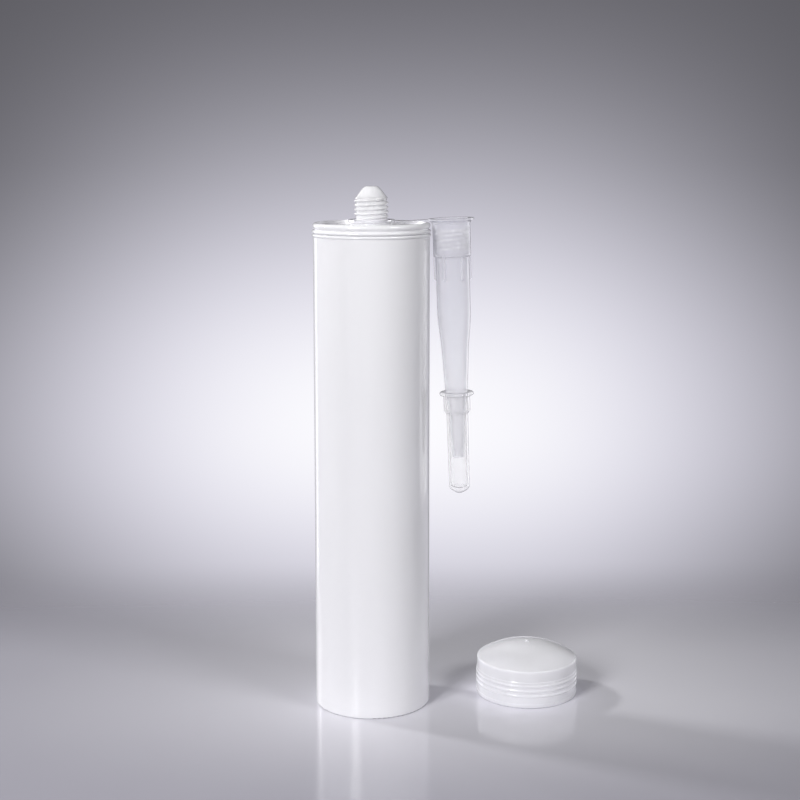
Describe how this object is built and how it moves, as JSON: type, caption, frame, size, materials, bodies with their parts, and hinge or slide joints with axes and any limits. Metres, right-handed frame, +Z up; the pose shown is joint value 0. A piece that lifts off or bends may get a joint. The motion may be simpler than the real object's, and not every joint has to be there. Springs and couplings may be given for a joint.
{
  "type": "caulk tube",
  "caption": "Empty caulk cartridge on its open end, with a strap-hung capped nozzle and its piston standing beside it.",
  "frame": {"origin": "centre of the barrel's open end, on the plane it stands on", "axes": "+Z up the barrel to the threaded neck; +X towards the hanging nozzle and the piston; +Y away from the viewer"},
  "size_m": [0.1168, 0.0563, 0.2257],
  "materials": {
    "white_hdpe": "semi-gloss moulded",
    "clear_pe": "translucent gloss",
    "cap_pe": "translucent gloss",
    "milky_pe": "milky satin"
  },
  "bodies": {
    "tube": {"cartridge": "white_hdpe", "piston": "milky_pe"},
    "nozzle": {"nozzle": "clear_pe"},
    "cap": {"nozzle_cap": "cap_pe"}
  },
  "joints": [
    {"name": "nozzle_swivel", "type": "hinge", "parent": "tube", "child": "nozzle", "pos_m": [0, 0, 0.2111], "axis": [0, 0, 1], "continuous": true},
    {"name": "cap_pull", "type": "slide", "parent": "nozzle", "child": "cap", "axis": [0.0366, 0, -0.9993], "range_m": [0, 0.045]}
  ]
}
